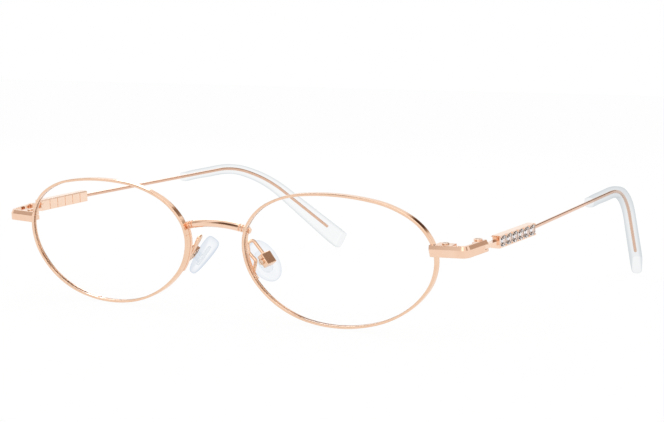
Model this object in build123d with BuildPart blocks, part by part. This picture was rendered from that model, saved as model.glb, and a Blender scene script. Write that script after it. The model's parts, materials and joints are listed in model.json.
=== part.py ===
from build123d import *
from math import atan2, cos, degrees, pi, radians, sin, sqrt
import os

os.makedirs("parts", exist_ok=True)

# Oval metal eyeglasses, open and standing on the lower rims and the temple tips.
# World axes: +X to the wearer's left, -Y the way the wearer looks, +Z up.
# Most places are given on the front's own axes: x to the wearer's left, y back along
# the lens axis and z up the leaning front, from the middle of the bridge line.

# Lens outline, on the centre line of the rim wire
rim_half_width = 25.5
rim_half_height = 15.9
lens_centre_distance = 70.4
lens_curve_radius = 153.0
wrap_angle = 2.2
outline_point_count = 8
width_cos_shares = (1, -0.039, 0.004)
width_sin_shares = (0, 0.037, -0.004)
height_cos_shares = (0.012, 0.015, 0)
height_sin_shares = (1, -0.042, 0.023)

# Rim wire, its lens groove and the slit that lets a lens in
rim_thickness = 0.6
rim_depth = 1.4
groove_depth = 0.25
groove_width = 0.7
lens_play = 0.03
lens_thickness = 1.1
rim_slit = 0.15

# Bridge: a round bar with ringed necks
bridge_diameter = 1.9
bridge_neck_diameter = 1.3
bridge_attach_height = 4.75
bridge_rise = 1.35
bridge_front_y = 2.0
bridge_bow = 0.55
ring_width = 0.4
ring_pitch = 0.86
ring_count = 3

# Endpiece: a flat strip bent round the corner of the front
endpiece_inner_x = 58.6
endpiece_inner_slant = 0.45
endpiece_inner_y = 1.1
endpiece_corner_x = 67.7
endpiece_corner_y = 2.3
endpiece_rear_x = 68.75
endpiece_rear_y = 10.8
endpiece_thickness = 1.1
endpiece_height = 2.6
endpiece_bevel_height = 0.9
endpiece_bevel_depth = 0.5
endpiece_corner_radius = 1.9
endpiece_centre_z = 3.9

# Closing block: two halves behind the endpiece that the rim screw pulls together
closing_block_inner_x = 59.6
closing_block_width = 4.2
closing_block_rear_y = 5.0
rim_screw_x = 61.6
rim_screw_y = 3.9
rim_screw_diameter = 1.0
rim_screw_head_diameter = 1.7
rim_screw_head_height = 0.25
thread_play = 0.02
screw_slot_width = 0.3
screw_slot_depth = 0.2

# Hinge
hinge_run = 1.08
hinge_depth = 2.04
barrel_diameter = 2.0
barrel_rise = 0.25
barrel_gap = 0.06
hinge_screw_diameter = 0.9
hinge_screw_head_diameter = 1.4
hinge_screw_head_height = 0.3
running_play = 0.04
leaf_thickness = 0.6
leaf_length = 3.4
leaf_setback = 0.5
tongue_height = 0.9
tongue_drop = 0.2
tongue_width = 1.3
tongue_inset = 0.15
slot_length = 1.35

# Stone-set block of the temple
block_front_y = 14.6
block_middle_x = 68.55
block_lip = 0.4
block_length = 18.8
block_height = 2.9
block_thickness = 2.2
block_edge_chamfer = 0.3
stone_count = 6
stone_bar = 0.25
stone_height = 2.45
stone_corner = 0.5
stone_crown = 0.35
stone_girdle = 0.15
stone_pavilion = 0.38
stone_table_share = 0.62
stone_keel_share = 0.25
stone_play = 0.02
prong_diameter = 0.35
prong_height = 0.25
prong_inset = 0.3
inner_line_width = 0.25
inner_line_depth = 0.15
recess_depth = 0.8
recess_wall = 0.3
tenon_length = 1.2
tenon_thickness = 1.0

# Temple wire and its clear tip
wire_diameter = 0.9
wire_seat = 1.0
wire_inset = 0.05
temple_droop_angle = 2.3
wire_run = 65.7
wire_toe_angle = 4.1
bend_run = 16.0
bend_toe_angle = 12.5
bend_drop_angle = 24.0
tail_run = 30.3
tail_toe_angle = 16.8
tail_drop_angle = 39.5
first_bend_radius = 35.0
second_bend_radius = 54.0
tip_overhang = 8.1
tip_mouth_y = 74.8
tip_mouth_diameter = 2.6
tip_width = 5.8
tip_thickness = 3.2
tip_corner_share = 0.65
tip_offset = 0.8

# Nose piece: strip behind the rim, arm, box, screw and pad
strip_thickness = 0.6
strip_inset = 0.3
strip_outset = 0.4
strip_top_z = 4.0
strip_bottom_z = -6.6
arm_diameter = 0.85
arm_foot_step = 4.35
arm_width = 2.75
arm_reach = 4.1
arm_rise = 6.7
arm_shares = ((-0.14, 0.37, 0.32), (-0.75, 0.28, 0.61), (-1, 0.45, 0.93), (-0.9, 0.9, 1))
arm_bend_radius = 0.75
pad_centre = (9.1, 8.3, -4.0)
pad_length = 11.2
pad_width = 7.6
pad_narrow_share = 0.8
pad_thickness = 2.8
pad_edge_radius = 1.1
pad_lean_angle = 37.0
pad_splay_angle = 17.0
pad_turn_angle = -8.0
box_width = 3.0
box_length = 3.2
box_depth = 1.9
box_wall = 0.4
box_gap = 0.4
box_drop = 0.5
box_setback = -1.1
pad_screw_depth = 0.6
pad_screw_diameter = 0.9
pad_screw_head_diameter = 1.5
pad_screw_head_height = 0.4
insert_length = 6.0
insert_width = 3.2
insert_thickness = 0.5
lug_height = 1.6
lug_play = 0.1
cut_overrun = 5.0


def stepped(start, length, toe_angle, drop_angle):
    """The point a length further back along the temple, turned in and dropped."""
    level = length * cos(radians(drop_angle))
    return (
        start[0] - level * sin(radians(toe_angle)),
        start[1] + level * cos(radians(toe_angle)),
        start[2] - length * sin(radians(drop_angle)),
    )


block_front = (block_middle_x, block_front_y, endpiece_centre_z)
wire_front = (block_middle_x - wire_inset, block_front_y, endpiece_centre_z)
block_rear = stepped(wire_front, block_length, 0, temple_droop_angle)
bend_start = stepped(block_rear, wire_run, wire_toe_angle, temple_droop_angle)
bend_end = stepped(bend_start, bend_run, bend_toe_angle, bend_drop_angle)
wire_end = stepped(bend_end, tail_run, tail_toe_angle, tail_drop_angle)
tip_end = stepped(bend_end, tail_run + tip_overhang, tail_toe_angle, tail_drop_angle)
tip_mouth = stepped(
    block_rear,
    (tip_mouth_y - block_rear[1]) / cos(radians(temple_droop_angle)) / cos(radians(wire_toe_angle)),
    wire_toe_angle,
    temple_droop_angle,
)

# The front leans so that the lower rims and the tip ends meet the same level surface
rim_low_y = rim_half_height**2 / (2 * lens_curve_radius) - rim_depth / 2
rim_low_z = -rim_half_height - rim_thickness / 2
tip_low_share = 0.96
tip_low = tip_low_share * tip_width / 2 + tip_offset
tip_high = tip_low_share * tip_width / 2 - tip_offset
tip_slope = sin(radians(tail_drop_angle)) * cos(radians(tail_toe_angle))
tip_low_y = tip_end[1] - tip_low * tip_slope
tip_low_z = tip_end[2] - tip_low * cos(radians(tail_drop_angle))
tip_high_y = tip_end[1] + tip_high * tip_slope
tip_high_z = tip_end[2] + tip_high * cos(radians(tail_drop_angle))
front_lean = degrees(atan2(rim_low_z - tip_low_z, tip_low_y - rim_low_y))
front_height = -rim_low_z * cos(radians(front_lean)) - rim_low_y * sin(radians(front_lean))
tip_reach = tip_high_y * cos(radians(front_lean)) - tip_high_z * sin(radians(front_lean))
front_reach = rim_half_height * sin(radians(front_lean)) - rim_low_y * cos(radians(front_lean))
front_y = -(tip_reach - front_reach) / 2
front = Plane(
    origin=(0, front_y, front_height),
    x_dir=(1, 0, 0),
    z_dir=(0, -sin(radians(front_lean)), cos(radians(front_lean))),
)


def on_front(origin, x_dir=(1, 0, 0), z_dir=(0, 0, 1)):
    """A plane given on the front's own axes."""
    return Plane(front.location * Plane(origin, x_dir=x_dir, z_dir=z_dir).location)


def rim_node(step):
    """A point of the lens outline with its unit tangent, from the outline's formula."""
    angle = 2 * pi * step / outline_point_count
    place, slope = Vector(), Vector()
    for order in (1, 2, 3):
        c, s = cos(order * angle), sin(order * angle)
        x_cos, x_sin = width_cos_shares[order - 1], width_sin_shares[order - 1]
        y_cos, y_sin = height_cos_shares[order - 1], height_sin_shares[order - 1]
        place += Vector(
            rim_half_width * (x_cos * c + x_sin * s), rim_half_height * (y_cos * c + y_sin * s)
        )
        slope += Vector(
            rim_half_width * order * (x_sin * c - x_cos * s),
            rim_half_height * order * (y_sin * c - y_cos * s),
        )
    return place, slope.normalized()


def rim_outline(outset):
    """The lens outline as tangent arcs, two between each pair of points, moved outwards."""
    nodes = [rim_node(step) for step in range(outline_point_count)]
    nodes.append(nodes[0])
    for (start, start_slope), (end, end_slope) in zip(nodes, nodes[1:]):
        span, slopes = end - start, start_slope + end_slope
        turn = 2 * (1 - start_slope.dot(end_slope))
        along = span.dot(slopes)
        reach = (sqrt(along**2 + turn * span.dot(span)) - along) / turn
        middle = (start + end + (start_slope - end_slope) * reach) * 0.5
        chord = (middle - start).normalized()
        middle_slope = chord * (2 * chord.dot(start_slope)) - start_slope
        moved = [
            place + Vector(slope.Y, -slope.X) * outset
            for place, slope in ((start, start_slope), (middle, middle_slope), (end, end_slope))
        ]
        TangentArc(moved[0], moved[1], tangent=start_slope)
        TangentArc(moved[1], moved[2], tangent=middle_slope)


wrap = radians(wrap_angle)
lens_plane = on_front(
    (lens_centre_distance / 2, 0, 0), x_dir=(cos(wrap), sin(wrap), 0), z_dir=(sin(wrap), -cos(wrap), 0)
)


def lens_slab(outset, front_face, back_face, hole_outset=None):
    """A slab on the lens curve, from a face in front of its middle to one behind it."""
    with BuildPart() as slab:
        with BuildSketch(lens_plane):
            with BuildLine():
                rim_outline(outset)
            make_face()
            if hole_outset is not None:
                with BuildLine():
                    rim_outline(hole_outset)
                make_face(mode=Mode.SUBTRACT)
        extrude(amount=cut_overrun + back_face, both=True)
        with Locations(lens_plane.offset(-lens_curve_radius)):
            Sphere(lens_curve_radius + front_face, mode=Mode.INTERSECT)
            Sphere(lens_curve_radius - back_face, mode=Mode.SUBTRACT)
    return slab.part


half_depth = rim_depth / 2
half_rim = rim_thickness / 2
rim_blank = lens_slab(half_rim, half_depth, half_depth)

# Rim, grooved for the lens and slit at the closing block
with BuildPart() as rim:
    add(lens_slab(half_rim, half_depth, half_depth, -half_rim))
    add(
        lens_slab(groove_depth - half_rim, groove_width / 2, groove_width / 2, -rim_thickness),
        mode=Mode.SUBTRACT,
    )
    with Locations(on_front((endpiece_inner_x, endpiece_inner_y, endpiece_centre_z))):
        Box(cut_overrun * 2, cut_overrun * 2, rim_slit, mode=Mode.SUBTRACT)

# Lens, with a tongue round its edge for the groove
edge_width = groove_width - 2 * lens_play
with BuildPart() as lens:
    add(lens_slab(-half_rim - lens_play, lens_thickness / 2, lens_thickness / 2))
    add(
        lens_slab(groove_depth - half_rim - lens_play, edge_width / 2, edge_width / 2, -rim_thickness)
    )

# Bridge, cut to sit on the back of both rims
bridge_end_x = lens_centre_distance / 2 - rim_half_width
bridge_end = (bridge_end_x, bridge_front_y + bridge_bow, bridge_attach_height)
bridge_top = (0, bridge_front_y, bridge_attach_height + bridge_rise)
with BuildPart() as bridge:
    with BuildLine(front) as bridge_line:
        ThreePointArc((-bridge_end[0], bridge_end[1], bridge_end[2]), bridge_top, bridge_end)
    bridge_arc = bridge_line.edges()[0]
    with BuildSketch(Plane(bridge_arc @ 0, z_dir=bridge_arc % 0)):
        Circle(bridge_neck_diameter / 2)
    sweep(path=bridge_arc)
    neck_share = (ring_count + 0.5) * ring_pitch / bridge_arc.length
    bar_arc = bridge_arc.trim(neck_share, 1 - neck_share)
    with BuildSketch(Plane(bar_arc @ 0, z_dir=bar_arc % 0)):
        Circle(bridge_diameter / 2)
    sweep(path=bar_arc)
    for index in range(ring_count):
        for end_share in (0, 1):
            share = abs(end_share - (index + 0.75) * ring_pitch / bridge_arc.length)
            with Locations(Plane(bridge_arc @ share, z_dir=bridge_arc % share)):
                Cylinder(bridge_diameter / 2, ring_width)
    add(rim_blank, mode=Mode.SUBTRACT)
    add(mirror(rim_blank, about=Plane.YZ), mode=Mode.SUBTRACT)

# Endpiece: a bevelled strip swept round the corner, slotted at its rear for the tongue
half_endpiece = endpiece_height / 2
tongue_z = endpiece_centre_z - tongue_drop
tongue_space = tongue_height + 2 * barrel_gap
with BuildPart() as endpiece:
    with BuildLine(on_front((0, 0, endpiece_centre_z))) as strip_line:
        FilletPolyline(
            (endpiece_inner_x, endpiece_inner_y),
            (endpiece_corner_x, endpiece_corner_y),
            (endpiece_rear_x, endpiece_rear_y),
            radius=endpiece_corner_radius,
        )
    strip_path = strip_line.wires()[0]
    with BuildSketch(Plane(strip_path @ 0, x_dir=front.z_dir, z_dir=strip_path % 0)):
        with BuildLine():
            Polyline(
                (-half_endpiece, 0),
                (half_endpiece - endpiece_bevel_height, 0),
                (half_endpiece, -endpiece_bevel_depth),
                (half_endpiece, -endpiece_thickness),
                (-half_endpiece, -endpiece_thickness),
                close=True,
            )
        make_face()
    sweep(path=strip_path)
    inner_end = on_front(
        (endpiece_inner_x, 0, endpiece_centre_z + half_endpiece),
        x_dir=(0, 1, 0),
        z_dir=(-endpiece_height, 0, -endpiece_inner_slant),
    )
    with Locations(inner_end):
        Box(
            4 * cut_overrun,
            4 * cut_overrun,
            cut_overrun,
            align=(Align.CENTER, Align.CENTER, Align.MIN),
            mode=Mode.SUBTRACT,
        )
    add(rim_blank, mode=Mode.SUBTRACT)
    strip_end = Plane(strip_path @ 1, x_dir=front.z_dir, z_dir=strip_path % 1)
    with Locations(strip_end * Location((-tongue_drop, 0, 0))):
        Box(tongue_space, cut_overrun, 2 * slot_length, mode=Mode.SUBTRACT)

# The strip's middle lies behind its bevel, so pieces drawn from there seat on its back
strip_middle = (endpiece_bevel_depth + endpiece_thickness) / 2
strip_slope = (endpiece_corner_y - endpiece_inner_y) / (endpiece_corner_x - endpiece_inner_x)
strip_angle = atan2(endpiece_rear_x - endpiece_corner_x, endpiece_rear_y - endpiece_corner_y)


def strip_point(run, depth):
    """A point of the strip's side arm, by its run from the rear end and its depth inwards."""
    return (
        endpiece_rear_x - run * sin(strip_angle) - depth * cos(strip_angle),
        endpiece_rear_y - run * cos(strip_angle) + depth * sin(strip_angle),
    )


# Closing block halves, seated on the rim and the endpiece
closing_halves = {}
block_seat_y = endpiece_inner_y + strip_middle
block_seat_rise = strip_slope * closing_block_width
for name, side in (("upper", 1), ("lower", -1)):
    with BuildPart() as half:
        with BuildSketch(on_front((0, 0, endpiece_centre_z + side * rim_slit / 2), z_dir=(0, 0, side))):
            with BuildLine():
                Polyline(
                    (closing_block_inner_x, side * block_seat_y),
                    (closing_block_inner_x, side * closing_block_rear_y),
                    (closing_block_inner_x + closing_block_width, side * closing_block_rear_y),
                    (
                        closing_block_inner_x + closing_block_width,
                        side * (block_seat_y + block_seat_rise),
                    ),
                    close=True,
                )
            make_face()
        extrude(amount=half_endpiece - rim_slit / 2)
        with Locations(on_front((rim_screw_x, rim_screw_y, endpiece_centre_z))):
            Cylinder(rim_screw_diameter / 2 + thread_play, endpiece_height * 2, mode=Mode.SUBTRACT)
        add(rim_blank, mode=Mode.SUBTRACT)
        add(endpiece.part, mode=Mode.SUBTRACT)
    closing_halves[name] = half.part


def slotted_screw(head_plane, shank_diameter, shank_length, head_diameter, head_height):
    """A screw whose head sits on a plane, with its shank running down from it."""
    with BuildPart() as screw:
        with BuildSketch(head_plane):
            Circle(shank_diameter / 2)
        extrude(amount=-shank_length)
        with BuildSketch(head_plane):
            Circle(head_diameter / 2)
        extrude(amount=head_height)
        with Locations(head_plane.offset(head_height)):
            Box(head_diameter * 2, screw_slot_width, screw_slot_depth * 2, mode=Mode.SUBTRACT)
    return screw.part


rim_screw = slotted_screw(
    on_front((rim_screw_x, rim_screw_y, endpiece_centre_z + half_endpiece)),
    rim_screw_diameter,
    endpiece_height,
    rim_screw_head_diameter,
    rim_screw_head_height,
)

# Front half of the hinge: two barrels on a leaf that is soldered inside the endpiece.
# The top barrel stands proud of the endpiece and the screw's head lies flush in it.
hinge_x, hinge_y = strip_point(hinge_run, hinge_depth)
barrel_radius = barrel_diameter / 2
hinge_top_z = endpiece_centre_z + half_endpiece
hinge_bottom_z = endpiece_centre_z - half_endpiece
hinge_head = on_front((hinge_x, hinge_y, hinge_top_z + barrel_rise - hinge_screw_head_height))
with BuildPart() as hinge_leaf:
    with BuildSketch(on_front((0, 0, hinge_bottom_z))):
        with Locations((hinge_x, hinge_y)):
            Circle(barrel_radius)
        with BuildLine():
            Polyline(
                strip_point(leaf_setback, strip_middle),
                strip_point(leaf_setback + leaf_length, strip_middle),
                strip_point(leaf_setback + leaf_length, endpiece_thickness + leaf_thickness),
                strip_point(leaf_setback, endpiece_thickness + leaf_thickness),
                close=True,
            )
        make_face()
    extrude(amount=endpiece_height)
    with BuildSketch(on_front((hinge_x, hinge_y, hinge_top_z))):
        Circle(barrel_radius)
    extrude(amount=barrel_rise)
    with Locations(on_front((hinge_x, hinge_y, tongue_z))):
        Box(cut_overrun, barrel_diameter + 2 * barrel_gap, tongue_space, mode=Mode.SUBTRACT)
        Cylinder(hinge_screw_diameter / 2 + thread_play, endpiece_height * 2, mode=Mode.SUBTRACT)
    with Locations(hinge_head):
        Cylinder(
            hinge_screw_head_diameter / 2 + thread_play,
            endpiece_height,
            align=(Align.CENTER, Align.CENTER, Align.MIN),
            mode=Mode.SUBTRACT,
        )
    add(endpiece.part, mode=Mode.SUBTRACT)
    add(rim_blank, mode=Mode.SUBTRACT)
hinge_screw = slotted_screw(
    hinge_head,
    hinge_screw_diameter,
    endpiece_height + barrel_rise - hinge_screw_head_height,
    hinge_screw_head_diameter,
    hinge_screw_head_height,
)

# Temple half of the hinge: one barrel, a heel that meets the slot, and a tenon in the block
tongue_outer_x = block_middle_x + tongue_width / 2
tenon_inner_x = block_middle_x - tongue_width / 2
tenon_outer_x = tenon_inner_x + tenon_thickness
tenon_rear_y = block_front_y + tenon_length
heel_run = slot_length - barrel_gap
with BuildPart() as temple_tongue:
    with BuildSketch(on_front((0, 0, tongue_z - tongue_height / 2))):
        with BuildLine():
            Polyline(
                strip_point(heel_run, tongue_inset),
                (tongue_outer_x, block_front_y),
                (tenon_outer_x, block_front_y),
                (tenon_outer_x, tenon_rear_y),
                (tenon_inner_x, tenon_rear_y),
                (tenon_inner_x, block_front_y),
                (hinge_x, hinge_y + barrel_radius),
                (hinge_x, hinge_y),
                strip_point(heel_run, tongue_inset + endpiece_thickness),
                close=True,
            )
        make_face()
        with Locations((hinge_x, hinge_y)):
            Circle(barrel_radius)
            Circle(hinge_screw_diameter / 2 + running_play, mode=Mode.SUBTRACT)
    extrude(amount=tongue_height)

# Temple wire: straight from the block, then two easy bends down behind the ear
wire_start = stepped(block_rear, -wire_seat, wire_toe_angle, temple_droop_angle)
with BuildPart() as temple_wire:
    with BuildLine(front) as wire_line:
        FilletPolyline(
            wire_start, bend_start, bend_end, wire_end, radius=(first_bend_radius, second_bend_radius)
        )
    wire_path = wire_line.wires()[0]
    with BuildSketch(Plane(wire_path @ 0, z_dir=wire_path % 0)):
        Circle(wire_diameter / 2)
    sweep(path=wire_path)

# Block with six stone seats outside, score lines inside and a recess over the tongue
block_plane = on_front(
    block_front,
    x_dir=(0, cos(radians(temple_droop_angle)), -sin(radians(temple_droop_angle))),
    z_dir=(1, 0, 0),
)
block_face = block_plane.offset(block_thickness / 2)
stone_pitch = (block_length - block_lip) / stone_count
stone_length = stone_pitch - stone_bar
stone_places = [(block_lip + (index + 0.5) * stone_pitch, 0) for index in range(stone_count)]
bar_places = [block_lip + index * stone_pitch for index in range(1, stone_count)]
end_prong = prong_diameter / 2
prong_columns = [block_lip, *bar_places, block_length - end_prong]
prong_row = block_height / 2 - prong_inset
with BuildPart() as temple_block:
    with BuildSketch(block_plane):
        Rectangle(block_length, block_height, align=(Align.MIN, Align.CENTER))
    extrude(amount=block_thickness / 2, both=True)
    inner_top = block_plane.from_local_coords((block_length / 2, block_height / 2, -block_thickness / 2))
    chamfer(temple_block.edges().sort_by_distance(inner_top)[0], block_edge_chamfer)
    with BuildSketch(block_face) as seats:
        with Locations(*stone_places):
            Rectangle(stone_length + 2 * stone_play, stone_height + 2 * stone_play)
        chamfer(seats.vertices(), stone_corner)
    extrude(amount=-(stone_girdle + stone_pavilion), mode=Mode.SUBTRACT)
    with Locations(block_plane.offset(-block_thickness / 2)):
        with Locations(*[(place, 0) for place in bar_places]):
            Box(inner_line_width, cut_overrun, 2 * inner_line_depth, mode=Mode.SUBTRACT)
    with Locations(block_face):
        with Locations(*[(place, side * prong_row) for place in prong_columns for side in (-1, 1)]):
            Cylinder(
                prong_diameter / 2, prong_height, align=(Align.CENTER, Align.CENTER, Align.MIN)
            )
    recess_bottom = tongue_height / 2 - tongue_drop
    recess_top = block_height / 2 - recess_wall
    recess_outer = tenon_outer_x - block_middle_x
    with BuildSketch(block_plane.offset(recess_outer)):
        with Locations((0, recess_bottom)):
            Rectangle(2 * recess_depth, recess_top - recess_bottom, align=(Align.CENTER, Align.MIN))
    extrude(amount=-block_thickness, mode=Mode.SUBTRACT)
    add(temple_tongue.part, mode=Mode.SUBTRACT)
    add(temple_wire.part, mode=Mode.SUBTRACT)

# Stones: clipped rectangles with a stepped crown and pavilion
with BuildPart() as stones:
    for place, _ in stone_places:
        stone_sections = (
            (-stone_girdle - stone_pavilion + stone_play, stone_keel_share),
            (-stone_girdle, 1),
            (0, 1),
            (stone_crown, stone_table_share),
        )
        for height, share in stone_sections:
            with BuildSketch(block_face.offset(height) * Location((place, 0, 0))) as section:
                Rectangle(stone_length * share, stone_height * share)
                chamfer(section.vertices(), stone_corner * share)
        loft(ruled=True)

# Clear tip: nearly round at its mouth, a flat blunt paddle at its end, moulded over the wire
# Each row is how far the width and the thickness have grown, at even steps along the tip
tip_shares = (
    (0, 0),
    (0.02, 0.25),
    (0.04, 0.5),
    (0.06, 0.6),
    (0.08, 0.65),
    (0.11, 0.7),
    (0.14, 0.75),
    (0.18, 0.8),
    (0.23, 0.85),
    (0.3, 0.9),
    (0.39, 0.95),
    (0.49, 1),
    (0.6, 1),
    (0.71, 1),
    (0.81, 1),
    (0.91, 1),
    (1, 0.95),
    (0.94, 0.6),
)
with BuildPart() as temple_tip:
    with BuildLine(front) as tip_line:
        FilletPolyline(
            tip_mouth, bend_start, bend_end, tip_end, radius=(first_bend_radius, second_bend_radius)
        )
    tip_path = tip_line.wires()[0]
    for index, (width_share, thickness_share) in enumerate(tip_shares):
        place = index / (len(tip_shares) - 1)
        section_width = tip_mouth_diameter + (tip_width - tip_mouth_diameter) * width_share
        section_thickness = tip_mouth_diameter + (tip_thickness - tip_mouth_diameter) * thickness_share
        with BuildSketch(Plane(tip_path @ place, x_dir=front.z_dir, z_dir=tip_path % place)):
            with Locations((-tip_offset * width_share, 0)):
                RectangleRounded(
                    section_width, section_thickness, tip_corner_share * section_thickness / 2
                )
    loft()
    add(temple_wire.part, mode=Mode.SUBTRACT)

# Nose strip behind the rim, from the bridge down
with BuildPart() as nose_strip:
    add(lens_slab(strip_outset, -half_depth, half_depth + strip_thickness, -strip_inset))
    with Locations(on_front((0, 0, (strip_top_z + strip_bottom_z) / 2))):
        Box(
            lens_centre_distance,
            lens_centre_distance,
            strip_top_z - strip_bottom_z,
            mode=Mode.INTERSECT,
        )

# Pad and box planes: x back along the pad's width, y down its length, z towards the nose
lean, splay = radians(pad_lean_angle), radians(pad_splay_angle)
pad_face = on_front(
    pad_centre,
    x_dir=(sin(splay), cos(splay), 0),
    z_dir=(-cos(lean) * cos(splay), cos(lean) * sin(splay), -sin(lean)),
)
pad_plane = Plane(pad_face.location * Location((0, 0, 0), (0, 0, pad_turn_angle)))
box_mouth = Plane(
    pad_plane.location * Location((box_setback, box_drop, -pad_thickness / 2 - box_gap))
)
screw_axis = box_mouth.offset(-pad_screw_depth)
screw_side = Plane(screw_axis.origin, x_dir=screw_axis.y_dir, z_dir=-screw_axis.x_dir)
screw_radius = pad_screw_diameter / 2
inner_width = box_width - 2 * box_wall
with BuildPart() as box_blank:
    with BuildSketch(box_mouth):
        Rectangle(box_width, box_length)
    extrude(amount=-box_depth)
with BuildPart() as pad_box:
    add(box_blank.part)
    with BuildSketch(box_mouth):
        Rectangle(inner_width, box_length - 2 * box_wall)
    extrude(amount=-(box_depth - box_wall), mode=Mode.SUBTRACT)
    with Locations(screw_side):
        Cylinder(screw_radius + thread_play, box_width * 2, mode=Mode.SUBTRACT)
pad_screw = slotted_screw(
    screw_side.offset(box_width / 2),
    pad_screw_diameter,
    box_width,
    pad_screw_head_diameter,
    pad_screw_head_height,
)

# Insert: a plate moulded into the pad and a lug that takes the screw
with BuildPart() as pad_insert:
    with BuildSketch(pad_plane):
        SlotOverall(insert_length, insert_width, rotation=90)
    extrude(amount=insert_thickness / 2, both=True)
    with BuildSketch(screw_side):
        Circle(lug_height / 2)
        Rectangle(
            lug_height,
            pad_thickness / 2 + box_gap + pad_screw_depth,
            align=(Align.CENTER, Align.MAX),
        )
    extrude(amount=inner_width / 2 - lug_play, both=True)
    with Locations(screw_side):
        Cylinder(screw_radius + running_play, box_width, mode=Mode.SUBTRACT)

# Pad: a soft clear drop, narrower at its top
narrow_radius = pad_width / 2 * pad_narrow_share
with BuildPart() as nose_pad:
    with BuildSketch(pad_plane):
        with Locations((0, pad_length / 2 - pad_width / 2)):
            Circle(pad_width / 2)
        with Locations((0, narrow_radius - pad_length / 2)):
            Circle(narrow_radius)
        make_hull()
    extrude(amount=pad_thickness / 2, both=True)
    fillet(nose_pad.edges(), pad_edge_radius)
    add(pad_insert.part, mode=Mode.SUBTRACT)

# Pad arm: a looped wire from the nose strip to the back of the box
foot, _ = rim_node(arm_foot_step)
foot_depth = foot.dot(foot) / (2 * lens_curve_radius) + half_depth + strip_thickness
foot_world = lens_plane.from_local_coords(Vector(foot.X, foot.Y, -foot_depth))
arm_foot = front.to_local_coords(foot_world)
box_end = box_mouth.from_local_coords(Vector(0, (box_wall - box_length) / 2, -box_depth / 2))
arm_points = [arm_foot]
for x_share, y_share, z_share in arm_shares:
    arm_points.append(arm_foot + Vector(arm_width * x_share, arm_reach * y_share, arm_rise * z_share))
arm_points.append(front.to_local_coords(box_end))
with BuildPart() as pad_arm:
    with BuildLine(front) as arm_line:
        FilletPolyline(*(tuple(point) for point in arm_points), radius=arm_bend_radius)
    arm_path = arm_line.wires()[0]
    with BuildSketch(Plane(arm_path @ 0, z_dir=arm_path % 0)):
        Circle(arm_diameter / 2)
    sweep(path=arm_path)
    add(box_blank.part, mode=Mode.SUBTRACT)
    add(nose_strip.part, mode=Mode.SUBTRACT)

# The right side mirrors the left
pairs = {
    "rim": rim.part,
    "lens": lens.part,
    "endpiece": endpiece.part,
    "closing_block_upper": closing_halves["upper"],
    "closing_block_lower": closing_halves["lower"],
    "rim_screw": rim_screw,
    "hinge_leaf": hinge_leaf.part,
    "hinge_screw": hinge_screw,
    "temple_tongue": temple_tongue.part,
    "temple_block": temple_block.part,
    "stones": stones.part,
    "temple_wire": temple_wire.part,
    "temple_tip": temple_tip.part,
    "nose_strip": nose_strip.part,
    "pad_arm": pad_arm.part,
    "pad_box": pad_box.part,
    "pad_screw": pad_screw,
    "pad_insert": pad_insert.part,
    "nose_pad": nose_pad.part,
}
bridge.part.label = "bridge"
export_step(bridge.part, "parts/bridge.step")
for name, piece in pairs.items():
    for side, solid in (("left", piece), ("right", mirror(piece, about=Plane.YZ))):
        solid.label = f"{name}_{side}"
        export_step(solid, f"parts/{name}_{side}.step")
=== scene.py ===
import json
import math
import bpy
from mathutils import Matrix, Vector
from mathutils.bvhtree import BVHTree

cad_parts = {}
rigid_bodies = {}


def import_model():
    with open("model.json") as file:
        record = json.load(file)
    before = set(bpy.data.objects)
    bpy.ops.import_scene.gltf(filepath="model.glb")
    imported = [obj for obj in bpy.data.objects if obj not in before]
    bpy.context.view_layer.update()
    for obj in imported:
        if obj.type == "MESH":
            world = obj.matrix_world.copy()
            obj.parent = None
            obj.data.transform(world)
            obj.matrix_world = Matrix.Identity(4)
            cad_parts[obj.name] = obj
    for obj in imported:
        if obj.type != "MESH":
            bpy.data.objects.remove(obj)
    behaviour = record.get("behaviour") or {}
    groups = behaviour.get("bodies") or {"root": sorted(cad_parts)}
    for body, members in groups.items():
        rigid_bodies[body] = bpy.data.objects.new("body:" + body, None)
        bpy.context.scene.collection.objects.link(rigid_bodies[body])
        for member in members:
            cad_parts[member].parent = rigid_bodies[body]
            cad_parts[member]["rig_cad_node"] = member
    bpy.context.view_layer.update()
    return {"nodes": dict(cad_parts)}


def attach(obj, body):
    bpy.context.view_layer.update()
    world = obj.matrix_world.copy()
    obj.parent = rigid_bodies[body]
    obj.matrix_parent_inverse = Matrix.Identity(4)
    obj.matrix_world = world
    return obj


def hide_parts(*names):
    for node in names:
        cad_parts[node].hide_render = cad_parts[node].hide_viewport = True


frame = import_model()
bpy.ops.object.select_all(action="DESELECT")

# The table top and the white studio round it.
# The glasses stand open on a pale matt sheet, in even light from a white room with a few
# dark cards that the polished metal picks up as thin dark lines.
table_size = 6.0
table_colour = (0.9, 0.9, 0.9, 1)
table_roughness = 0.9
table_glow_share = 0.94
room_white = (1, 1, 1, 1)

bpy.ops.mesh.primitive_plane_add(size=table_size, location=(0, 0, 0))
table = bpy.context.object
table.name = "table_top"
bpy.ops.object.transform_apply(location=True, rotation=True, scale=True)
table_matt = bpy.data.materials.new("pale_table")
table_matt.use_nodes = True
nodes, links = table_matt.node_tree.nodes, table_matt.node_tree.links
shader = nodes["Principled BSDF"]
shader.inputs["Base Color"].default_value = table_colour
shader.inputs["Roughness"].default_value = table_roughness
glow = nodes.new("ShaderNodeEmission")
glow.inputs["Color"].default_value = room_white
rays = nodes.new("ShaderNodeLightPath")
seen = nodes.new("ShaderNodeMath")
seen.operation = "MAXIMUM"
links.new(rays.outputs["Is Camera Ray"], seen.inputs[0])
links.new(rays.outputs["Is Transmission Ray"], seen.inputs[1])
mirrored = nodes.new("ShaderNodeMath")
mirrored.operation = "MAXIMUM"
links.new(seen.outputs[0], mirrored.inputs[0])
links.new(rays.outputs["Is Glossy Ray"], mirrored.inputs[1])
share = nodes.new("ShaderNodeMath")
share.operation = "MULTIPLY"
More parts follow.
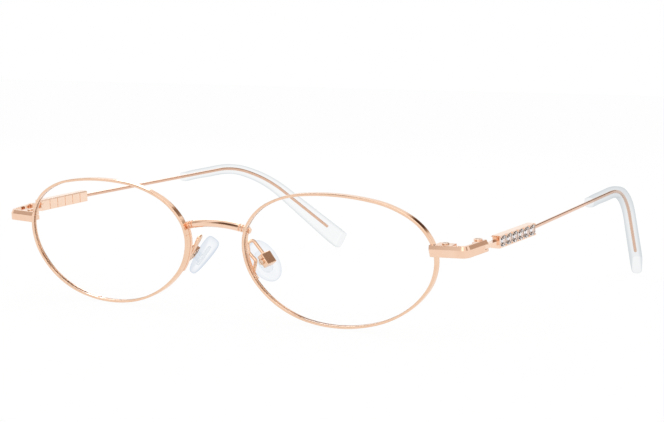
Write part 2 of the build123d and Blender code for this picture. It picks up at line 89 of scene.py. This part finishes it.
share.inputs[1].default_value = table_glow_share
links.new(mirrored.outputs[0], share.inputs[0])
blend = nodes.new("ShaderNodeMixShader")
links.new(share.outputs[0], blend.inputs["Fac"])
links.new(shader.outputs[0], blend.inputs[1])
links.new(glow.outputs[0], blend.inputs[2])
links.new(blend.outputs[0], nodes["Material Output"].inputs["Surface"])
table.data.materials.append(table_matt)

# Each card is a soft dark patch of the room: its heading from the back of the glasses
# towards the wearer's left, its height, how wide its core and its soft edge look, all in
# degrees, and how dark it is. The cards are seen in metal and through clear parts only,
# the picture's background stays white, and the light on matt surfaces stays even.
dark_cards = (
    (8, 34, 4, 14, 0.97),
    (-3, 23, 6, 14, 0.7),
    (30, 48, 5, 12, 0.8),
    (-150, 8, 6, 13, 0.7),
    (-150, 26, 8, 14, 0.95),
    (-150, 45, 8, 15, 0.9),
    (-122, 15, 5, 12, 0.6),
    (144, 48, 6, 13, 0.6),
    (100, 40, 5, 12, 0.5),
    (-108, 36, 5, 12, 0.5),
    (25, 54, 5, 10, 0.9),
    (55, 43, 2, 8, 0.8),
    (37, 24, 5, 12, 0.45),
)
card_dark = (0.07, 0.035, 0.02, 1)
card_edge = (0.52, 0.4, 0.32, 1)
room_level = 0.92
world = bpy.context.scene.world or bpy.data.worlds.new("studio")
bpy.context.scene.world = world
world.use_nodes = True
nodes, links = world.node_tree.nodes, world.node_tree.links
nodes.clear()
direction = nodes.new("ShaderNodeTexCoord")
level = None
for heading, height, inner, outer, darkness in dark_cards:
    heading, height = math.radians(heading), math.radians(height)
    facing = nodes.new("ShaderNodeVectorMath")
    facing.operation = "DOT_PRODUCT"
    facing.inputs[1].default_value = (
        math.sin(heading) * math.cos(height),
        math.cos(heading) * math.cos(height),
        math.sin(height),
    )
    links.new(direction.outputs["Generated"], facing.inputs[0])
    card = nodes.new("ShaderNodeMapRange")
    card.interpolation_type = "SMOOTHSTEP"
    card.inputs["From Min"].default_value = math.cos(math.radians(outer))
    card.inputs["From Max"].default_value = math.cos(math.radians(inner))
    card.inputs["To Min"].default_value = 1
    card.inputs["To Max"].default_value = 1 - darkness
    links.new(facing.outputs["Value"], card.inputs["Value"])
    if level is None:
        level = card.outputs["Result"]
    else:
        product = nodes.new("ShaderNodeMath")
        product.operation = "MULTIPLY"
        links.new(level, product.inputs[0])
        links.new(card.outputs["Result"], product.inputs[1])
        level = product.outputs[0]
warmth = nodes.new("ShaderNodeValToRGB")
warmth.color_ramp.elements[0].color = card_dark
warmth.color_ramp.elements[1].color = room_white
warmth.color_ramp.elements.new(0.5).color = card_edge
links.new(level, warmth.inputs["Fac"])
room = nodes.new("ShaderNodeBackground")
links.new(warmth.outputs["Color"], room.inputs["Color"])
even = nodes.new("ShaderNodeBackground")
even.inputs["Color"].default_value = room_white
even.inputs["Strength"].default_value = room_level
backdrop = nodes.new("ShaderNodeBackground")
backdrop.inputs["Color"].default_value = room_white
rays = nodes.new("ShaderNodeLightPath")
pick_cards = nodes.new("ShaderNodeMixShader")
onward = nodes.new("ShaderNodeMath")
onward.operation = "MAXIMUM"
links.new(rays.outputs["Is Glossy Ray"], onward.inputs[0])
links.new(rays.outputs["Is Transmission Ray"], onward.inputs[1])
links.new(onward.outputs[0], pick_cards.inputs["Fac"])
links.new(even.outputs[0], pick_cards.inputs[1])
links.new(room.outputs[0], pick_cards.inputs[2])
pick_backdrop = nodes.new("ShaderNodeMixShader")
links.new(rays.outputs["Is Camera Ray"], pick_backdrop.inputs["Fac"])
links.new(pick_cards.outputs[0], pick_backdrop.inputs[1])
links.new(backdrop.outputs[0], pick_backdrop.inputs[2])
surface = nodes.new("ShaderNodeOutputWorld")
links.new(pick_backdrop.outputs[0], surface.inputs["Surface"])

# Three weak soft lamps: name, place, turn, size of the square, power
soft_lamps = (
    ("lamp_over", (0.05, -0.1, 0.6), (0, 0, 0), 0.5, 0.6),
    ("lamp_front", (0.3, -0.7, 0.35), (math.radians(65), 0, math.radians(22)), 0.5, 0.5),
    ("lamp_back", (-0.45, 0.41, 0.43), (math.radians(-56), 0, math.radians(48)), 0.3, 0.6),
)
for name, place, turn, size, power in soft_lamps:
    bpy.ops.object.light_add(type="AREA", location=place, rotation=turn)
    lamp = bpy.context.object
    lamp.name = name
    lamp.data.size = size
    lamp.data.energy = power
bpy.ops.object.select_all(action="DESELECT")

# The camera, a long lens a little above the bridge and to the wearer's left
camera_place = (0.2292, -0.38494, 0.06147)
camera_turn = (84.7481, -0.9145, 32.0488)
camera_lens = 87.614
sensor_width = 36
camera_near = 0.01
bpy.ops.object.camera_add(
    location=camera_place, rotation=[math.radians(angle) for angle in camera_turn]
)
camera = bpy.context.object
camera.data.lens = camera_lens
camera.data.sensor_width = sensor_width
camera.data.clip_start = camera_near
bpy.context.scene.camera = camera
bpy.context.scene.view_settings.view_transform = "Standard"

# Rims, bridge, endpieces, closing blocks, hinges, nose strips, arms and boxes.
# Nickel alloy wire and strip, soldered, polished and plated rose gold. The plating tone
# varies a little in soft patches at random, some redder, some paler where it has been buffed.
cloud_scale = 400
cloud_detail = 3
grain_detail = 2
grain_strength = 0.3
edge_samples = 6
mix_first, mix_second, mix_result = 6, 7, 2
polish = bpy.data.node_groups.new("polish", "ShaderNodeTree")
for name, kind in (
    ("Tone", "NodeSocketColor"),
    ("Deep Tone", "NodeSocketColor"),
    ("Cloud Scale", "NodeSocketFloat"),
    ("Grain Scale", "NodeSocketFloat"),
    ("Grain Height", "NodeSocketFloat"),
    ("Roughness Low", "NodeSocketFloat"),
    ("Roughness High", "NodeSocketFloat"),
    ("Edge Radius", "NodeSocketFloat"),
):
    polish.interface.new_socket(name, in_out="INPUT", socket_type=kind)
for name, kind in (
    ("Color", "NodeSocketColor"),
    ("Roughness", "NodeSocketFloat"),
    ("Normal", "NodeSocketVector"),
):
    polish.interface.new_socket(name, in_out="OUTPUT", socket_type=kind)
nodes, links = polish.nodes, polish.links
entry = nodes.new("NodeGroupInput")
result = nodes.new("NodeGroupOutput")
place = nodes.new("ShaderNodeTexCoord")
clouds = nodes.new("ShaderNodeTexNoise")
clouds.inputs["Detail"].default_value = cloud_detail
links.new(place.outputs["Object"], clouds.inputs["Vector"])
links.new(entry.outputs["Cloud Scale"], clouds.inputs["Scale"])
grain = nodes.new("ShaderNodeTexNoise")
grain.inputs["Detail"].default_value = grain_detail
links.new(place.outputs["Object"], grain.inputs["Vector"])
links.new(entry.outputs["Grain Scale"], grain.inputs["Scale"])
tone = nodes.new("ShaderNodeMix")
tone.data_type = "RGBA"
links.new(clouds.outputs["Fac"], tone.inputs["Factor"])
links.new(entry.outputs["Deep Tone"], tone.inputs[mix_first])
links.new(entry.outputs["Tone"], tone.inputs[mix_second])
links.new(tone.outputs[mix_result], result.inputs["Color"])
spread = nodes.new("ShaderNodeMapRange")
links.new(clouds.outputs["Fac"], spread.inputs["Value"])
links.new(entry.outputs["Roughness Low"], spread.inputs["To Min"])
links.new(entry.outputs["Roughness High"], spread.inputs["To Max"])
links.new(spread.outputs["Result"], result.inputs["Roughness"])
worn_edge = nodes.new("ShaderNodeBevel")
worn_edge.samples = edge_samples
links.new(entry.outputs["Edge Radius"], worn_edge.inputs["Radius"])
relief = nodes.new("ShaderNodeBump")
relief.inputs["Strength"].default_value = grain_strength
links.new(worn_edge.outputs["Normal"], relief.inputs["Normal"])
links.new(entry.outputs["Grain Height"], relief.inputs["Distance"])
links.new(grain.outputs["Fac"], relief.inputs["Height"])
links.new(relief.outputs["Normal"], result.inputs["Normal"])


def polished_metal(
    name,
    tone,
    deep_tone,
    roughness,
    grain_scale=9000,
    grain_height=0.000002,
    edge_radius=0.00015,
):
    metal = bpy.data.materials.new(name)
    metal.use_nodes = True
    nodes, links = metal.node_tree.nodes, metal.node_tree.links
    finish = nodes.new("ShaderNodeGroup")
    finish.node_tree = polish
    finish.inputs["Tone"].default_value = tone
    finish.inputs["Deep Tone"].default_value = deep_tone
    finish.inputs["Cloud Scale"].default_value = cloud_scale
    finish.inputs["Grain Scale"].default_value = grain_scale
    finish.inputs["Grain Height"].default_value = grain_height
    finish.inputs["Roughness Low"].default_value = roughness[0]
    finish.inputs["Roughness High"].default_value = roughness[1]
    finish.inputs["Edge Radius"].default_value = edge_radius
    shader = nodes["Principled BSDF"]
    shader.inputs["Metallic"].default_value = 1
    links.new(finish.outputs["Color"], shader.inputs["Base Color"])
    for socket in ("Roughness", "Normal"):
        links.new(finish.outputs[socket], shader.inputs[socket])
    return metal


def dress(names, material):
    for name in names:
        for slot in frame["nodes"][name].material_slots:
            slot.material = material


def both(name):
    return [f"{name}_left", f"{name}_right"]


def weld(node):
    joining = node.modifiers.new("joining", "WELD")
    joining.merge_threshold = weld_gap


weld_gap = 0.000001
box_rounding = 0.0003
box_rounding_steps = 3
box_edge_degrees = 25
rim_plating = polished_metal(
    "rim_plating",
    (0.93, 0.67, 0.5, 1),
    (0.84, 0.55, 0.38, 1),
    (0.04, 0.1),
    edge_radius=0.0003,
)
bar_plating = polished_metal(
    "bar_plating", (0.94, 0.69, 0.53, 1), (0.86, 0.57, 0.41, 1), (0.04, 0.11)
)
for name in ("rim", "pad_arm", "pad_box"):
    dress(both(name), rim_plating)
dress(["bridge"], bar_plating)
for name in (
    "nose_strip",
    "endpiece",
    "closing_block_upper",
    "closing_block_lower",
    "hinge_leaf",
):
    dress(both(name), bar_plating)
for name in both("pad_box"):
    node = frame["nodes"][name]
    weld(node)
    rounding = node.modifiers.new("rounding", "BEVEL")
    rounding.width = box_rounding
    rounding.segments = box_rounding_steps
    rounding.limit_method = "ANGLE"
    rounding.angle_limit = math.radians(box_edge_degrees)
    rounding.harden_normals = True

# Rim, hinge and pad screws.
# Turned steel with a slotted head, bright and a little brushed. They pull the closing
# blocks together, carry the temples and let the pads rock.
screw_steel = polished_metal(
    "screw_steel",
    (0.9, 0.72, 0.58, 1),
    (0.72, 0.55, 0.43, 1),
    (0.14, 0.26),
    grain_scale=6000,
    grain_height=0.000004,
)
for name in ("rim_screw", "hinge_screw", "pad_screw"):
    dress(both(name), screw_steel)

# Lenses.
# Clear coated plastic, so thinly reflecting that only the rim shows where they are. Their
# tongues sit in the grooves of the rims. The normals are taken afresh, face by face.
lens_bending = 1.06
lens_edge_degrees = 20


def clear_glass(name, colour, roughness, bending):
    glass = bpy.data.materials.new(name)
    glass.use_nodes = True
    shader = glass.node_tree.nodes["Principled BSDF"]
    shader.inputs["Base Color"].default_value = colour
    shader.inputs["Roughness"].default_value = roughness
    shader.inputs["IOR"].default_value = bending
    shader.inputs["Transmission Weight"].default_value = 1
    return glass


dress(both("lens"), clear_glass("lens_clear", (1, 1, 1, 1), 0, lens_bending))
for name in both("lens"):
    node = frame["nodes"][name]
    weld(node)
    parting = node.modifiers.new("parting", "EDGE_SPLIT")
    parting.split_angle = math.radians(lens_edge_degrees)
    node.modifiers.new("facing", "WEIGHTED_NORMAL")

# Temple tongue, block and wire.
# The same plated alloy: a milled block with a soldered tongue at its front and a drawn
# round wire in its rear. The block is buffed paler than the rims, the wire less.
block_plating = polished_metal(
    "block_plating",
    (0.98, 0.76, 0.61, 1),
    (0.92, 0.66, 0.5, 1),
    (0.07, 0.16),
    edge_radius=0.00006,
)
wire_plating = polished_metal(
    "wire_plating", (0.84, 0.57, 0.43, 1), (0.74, 0.46, 0.33, 1), (0.08, 0.18)
)
dress(both("temple_tongue") + both("temple_block"), block_plating)
dress(both("temple_wire"), wire_plating)

# Stones.
# Clear step-cut glass, each stone pressed into its own seat in the temple block: pale
# facets with grey edges.
stone_colour = (0.97, 0.97, 1, 1)
stone_roughness = 0.02
stone_bending = 1.6
dress(both("stones"), clear_glass("stone_glass", stone_colour, stone_roughness, stone_bending))

# Clear temple tips.
# Clear acetate moulded over the core wire and tumbled until its edges are round. It is
# solid up to the wire. It hardly bends light here, and a grey-blue shade is painted into
# its colour towards the outline, where the real tips look darker on white.
wire_touch = 0.00012
tip_voxel = 0.0002
tip_smoothing = 0.5
tip_smoothing_rounds = 8
plastic_bending = 1.0
flow_scale = 160
flow_detail = 2


def clear_plastic(name, body, painted_outline_shade, painted_outline_width, roughness):
    plastic = bpy.data.materials.new(name)
    plastic.use_nodes = True
    nodes, links = plastic.node_tree.nodes, plastic.node_tree.links
    shader = nodes["Principled BSDF"]
    # Painted shade: the colour turns to the outline colour as each face turns away from the
    # view, standing in for the thicker clear material and the reflections seen at its edge.
    painted_outline_mask = nodes.new("ShaderNodeLayerWeight")
    painted_outline_mask.inputs["Blend"].default_value = painted_outline_width
    place = nodes.new("ShaderNodeTexCoord")
    flow = nodes.new("ShaderNodeTexNoise")
    flow.inputs["Scale"].default_value = flow_scale
    flow.inputs["Detail"].default_value = flow_detail
    links.new(place.outputs["Object"], flow.inputs["Vector"])
    body_and_painted_outline = nodes.new("ShaderNodeMix")
    body_and_painted_outline.data_type = "RGBA"
    body_and_painted_outline.inputs[mix_first].default_value = body
    body_and_painted_outline.inputs[mix_second].default_value = painted_outline_shade
    links.new(painted_outline_mask.outputs["Facing"], body_and_painted_outline.inputs["Factor"])
    links.new(body_and_painted_outline.outputs[mix_result], shader.inputs["Base Color"])
    sheen = nodes.new("ShaderNodeMapRange")
    sheen.inputs["To Min"].default_value = roughness[0]
    sheen.inputs["To Max"].default_value = roughness[1]
    links.new(flow.outputs["Fac"], sheen.inputs["Value"])
    links.new(sheen.outputs["Result"], shader.inputs["Roughness"])
    shader.inputs["Transmission Weight"].default_value = 1
    shader.inputs["IOR"].default_value = plastic_bending
    return plastic


# The second colour is painted shade, laid on towards the tip's outline.
tip_clear = clear_plastic(
    "tip_clear", (0.985, 0.99, 0.992, 1), (0.2, 0.28, 0.33, 1), 0.13, (0, 0.02)
)
for side in ("left", "right"):
    node = frame["nodes"][f"temple_tip_{side}"]
    wire_mesh = frame["nodes"][f"temple_wire_{side}"].data
    wire_surface = BVHTree.FromPolygons(
        [vertex.co for vertex in wire_mesh.vertices],
        [polygon.vertices for polygon in wire_mesh.polygons],
    )
    bpy.context.view_layer.objects.active = node
    node.select_set(True)
    bpy.ops.object.duplicate()
    tip = bpy.context.object
    tip.name = f"clear_tip_{side}"
    del tip["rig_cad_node"]
    tip.data.materials.clear()
    tip.data.materials.append(tip_clear)
    bpy.ops.object.mode_set(mode="EDIT")
    bpy.ops.mesh.select_all(action="SELECT")
    bpy.ops.mesh.remove_doubles(threshold=weld_gap)
    bpy.ops.mesh.select_all(action="DESELECT")
    bpy.ops.object.mode_set(mode="OBJECT")
    for polygon in tip.data.polygons:
        polygon.select = wire_surface.find_nearest(polygon.center)[3] < wire_touch
    bpy.ops.object.mode_set(mode="EDIT")
    bpy.ops.mesh.select_mode(type="FACE")
    bpy.ops.mesh.delete(type="FACE")
    bpy.ops.mesh.select_mode(type="EDGE")
    bpy.ops.mesh.select_non_manifold()
    bpy.ops.mesh.edge_face_add()
    bpy.ops.mesh.select_all(action="SELECT")
    bpy.ops.mesh.normals_make_consistent(inside=False)
    bpy.ops.object.mode_set(mode="OBJECT")
    bpy.ops.object.modifier_add(type="REMESH")
    casting = tip.modifiers[-1]
    casting.mode = "VOXEL"
    casting.voxel_size = tip_voxel
    bpy.ops.object.modifier_apply(modifier=casting.name)
    bpy.ops.object.modifier_add(type="SMOOTH")
    tumbling = tip.modifiers[-1]
    tumbling.factor = tip_smoothing
    tumbling.iterations = tip_smoothing_rounds
    bpy.ops.object.modifier_apply(modifier=tumbling.name)
    bpy.ops.object.shade_smooth()
    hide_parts(f"temple_tip_{side}")
    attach(tip, f"temple_{side}")
    tip.select_set(False)

# Nose pads and the plates inside them.
# Clear silicone cast round a clear plastic plate that carries the screw lug: an egg shape
# with a rounded edge, bowed so that its ends turn away from the nose.
pad_place = (0.0091, -0.062955, 0.0131)
pad_nose = (-0.76374, 0.3047, -0.56909)
pad_down = (0.61061, 0.05498, -0.79002)
pad_length = 0.0112
pad_width = 0.0076
pad_thickness = 0.0028
pad_rings = (
    (0.7, -0.5),
    (0.92, -0.47),
    (0.99, -0.36),
    (1, -0.15),
    (1, 0.1),
    (0.97, 0.32),
    (0.86, 0.46),
    (0.6, 0.5),
)
pad_ring_points = 24
pad_smoothing_levels = 2
pad_taper = 0.12
pad_bow = 0.22
# The pad and the plate inside it get a blue-grey shade painted into their colour towards their
# outlines.
pad_clear = clear_plastic(
    "pad_clear", (0.965, 0.975, 0.985, 1), (0.25, 0.37, 0.56, 1), 0.16, (0, 0.03)
)
insert_clear = clear_plastic(
    "insert_clear", (0.98, 0.985, 0.99, 1), (0.55, 0.62, 0.7, 1), 0.2, (0, 0.03)
)
dress(both("pad_insert"), insert_clear)
for side, hand in (("left", 1), ("right", -1)):
    bpy.ops.mesh.primitive_circle_add(vertices=pad_ring_points, radius=0.5, fill_type="NGON")
    pad = bpy.context.object
    pad.name = f"silicone_pad_{side}"
    bpy.ops.object.mode_set(mode="EDIT")
    bpy.ops.mesh.select_all(action="SELECT")
    reach, height = pad_rings[0]
    bpy.ops.transform.resize(value=(reach * pad_width, reach * pad_length, 1))
    bpy.ops.transform.translate(value=(0, 0, height * pad_thickness))
    for next_reach, next_height in pad_rings[1:]:
        rise = (next_height - height) * pad_thickness
        bpy.ops.mesh.extrude_region_move(TRANSFORM_OT_translate={"value": (0, 0, rise)})
        bpy.ops.transform.resize(value=(next_reach / reach, next_reach / reach, 1))
        reach, height = next_reach, next_height
    bpy.ops.mesh.select_all(action="SELECT")
    bpy.ops.mesh.normals_make_consistent(inside=False)
    bpy.ops.object.mode_set(mode="OBJECT")
    bpy.ops.object.modifier_add(type="SUBSURF")
    smoothing = pad.modifiers[-1]
    smoothing.levels = smoothing.render_levels = pad_smoothing_levels
    bpy.ops.object.modifier_apply(modifier=smoothing.name)
    bpy.ops.object.modifier_add(type="SIMPLE_DEFORM")
    egg = pad.modifiers[-1]
    egg.deform_method = "TAPER"
    egg.deform_axis = "Y"
    egg.factor = pad_taper
    bpy.ops.object.modifier_apply(modifier=egg.name)
    bpy.ops.object.modifier_add(type="SIMPLE_DEFORM")
    bow = pad.modifiers[-1]
    bow.deform_method = "BEND"
    bow.deform_axis = "X"
    bow.angle = pad_bow
    bpy.ops.object.modifier_apply(modifier=bow.name)
    middle, inward, down = (
        Vector((hand * x, y, z)) for x, y, z in (pad_place, pad_nose, pad_down)
    )
    turn = Matrix((down.cross(inward), down, inward)).transposed().to_4x4()
    pad.matrix_world = Matrix.Translation(middle) @ turn
    bpy.ops.object.transform_apply(location=True, rotation=True, scale=True)
    bpy.ops.object.shade_smooth()
    pad.data.materials.append(pad_clear)
    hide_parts(f"nose_pad_{side}")
    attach(pad, f"pad_{side}")
    pad.select_set(False)
